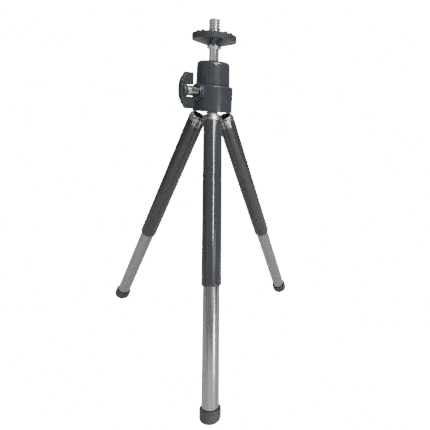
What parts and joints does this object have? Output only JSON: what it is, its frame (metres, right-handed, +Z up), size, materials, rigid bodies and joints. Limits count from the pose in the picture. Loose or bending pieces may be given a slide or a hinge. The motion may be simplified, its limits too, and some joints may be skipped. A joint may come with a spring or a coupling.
{
  "type": "mini tripod",
  "caption": "Mini desktop tripod with telescopic folding legs and a ball head: wing clamp knob, lock disc with rubber pad, and a 1/4 inch camera screw.",
  "frame": {"origin": "middle of the bounding box at its base, on the ground between the feet; the head axis stands 17.2 mm from it towards +Y", "axes": "+Z up along the head axis, -Y towards the front leg, X across the two rear legs"},
  "size_m": [0.1298, 0.1138, 0.1851],
  "materials": {
    "black_plastic": "moulded, semi-gloss",
    "black_enamel": "smooth gloss enamel",
    "chrome": "bright plated",
    "satin_steel": "fine brushed, satin",
    "rubber": "matte",
    "nylon": "natural moulded nylon",
    "brass": "turned"
  },
  "bodies": {
    "leg_hub": {"hub": "chrome", "hub_washer": "chrome", "hinge_pin_front": "chrome", "hinge_pin_right": "chrome", "hinge_pin_left": "chrome"},
    "head": {"head_base": "black_plastic", "ball_socket": "black_plastic", "ball_seat": "nylon", "thread_insert": "chrome", "hub_screw": "chrome"},
    "ball_stem": {"ball": "chrome", "camera_screw": "chrome"},
    "pad": {"rubber_pad": "rubber"},
    "disc": {"lock_disc": "black_plastic"},
    "shoe": {"brake_shoe": "brass"},
    "knob": {"clamp_knob": "black_enamel", "clamp_screw": "chrome"},
    "leg_front": {"leg_cap_front": "chrome", "outer_tube_front": "black_enamel"},
    "leg_right": {"leg_cap_right": "chrome", "outer_tube_right": "black_enamel"},
    "leg_left": {"leg_cap_left": "chrome", "outer_tube_left": "black_enamel"},
    "lower_leg_front": {"inner_tube_front": "satin_steel", "slide_bush_front": "nylon", "rubber_foot_front": "rubber"},
    "lower_leg_right": {"inner_tube_right": "satin_steel", "slide_bush_right": "nylon", "rubber_foot_right": "rubber"},
    "lower_leg_left": {"inner_tube_left": "satin_steel", "slide_bush_left": "nylon", "rubber_foot_left": "rubber"}
  },
  "joints": [
    {"name": "head_pan", "type": "hinge", "parent": "leg_hub", "child": "head", "pos_m": [0, 0.01721, 0.1384], "axis": [0, 0, 1], "continuous": true},
    {"name": "ball_tilt", "type": "hinge", "parent": "head", "child": "ball_stem", "pos_m": [0, 0.01721, 0.156], "axis": [-1, 0, 0], "range_deg": [-20, 90]},
    {"name": "disc_rise", "type": "slide", "parent": "ball_stem", "child": "pad", "axis": [0, 0, 1], "range_m": [0, 0.0032]},
    {"name": "disc_spin", "type": "hinge", "parent": "pad", "child": "disc", "pos_m": [0, 0.01721, 0.175], "axis": [0, 0, 1], "range_deg": [0, 900]},
    {"name": "shoe_slide", "type": "slide", "parent": "head", "child": "shoe", "axis": [-0.7071, -0.7071, 0], "range_m": [0, 0.00081]},
    {"name": "knob_spin", "type": "hinge", "parent": "shoe", "child": "knob", "pos_m": [0, 0.01721, 0.1484], "axis": [-0.7071, -0.7071, 0], "range_deg": [0, 360]},
    {"name": "leg_fold_front", "type": "hinge", "parent": "leg_hub", "child": "leg_front", "pos_m": [0, 0.00838, 0.13549], "axis": [1, 0, 0], "range_deg": [0, 24.5]},
    {"name": "leg_fold_right", "type": "hinge", "parent": "leg_hub", "child": "leg_right", "pos_m": [0.00765, 0.02162, 0.13549], "axis": [-0.5, 0.866, 0], "range_deg": [0, 24.5]},
    {"name": "leg_fold_left", "type": "hinge", "parent": "leg_hub", "child": "leg_left", "pos_m": [-0.00765, 0.02162, 0.13549], "axis": [-0.5, -0.866, 0], "range_deg": [0, 24.5]},
    {"name": "leg_slide_front", "type": "slide", "parent": "leg_front", "child": "lower_leg_front", "axis": [0, 0.4163, 0.9092], "range_m": [0, 0.0525]},
    {"name": "leg_slide_right", "type": "slide", "parent": "leg_right", "child": "lower_leg_right", "axis": [-0.3605, -0.2081, 0.9092], "range_m": [0, 0.0525]},
    {"name": "leg_slide_left", "type": "slide", "parent": "leg_left", "child": "lower_leg_left", "axis": [0.3605, -0.2081, 0.9092], "range_m": [0, 0.0525]}
  ],
  "couplings": [
    {"joint": "disc_rise", "follows": "disc_spin", "m_per_rad": 0.00020213},
    {"joint": "shoe_slide", "follows": "knob_spin", "m_per_rad": 0.00012732}
  ]
}
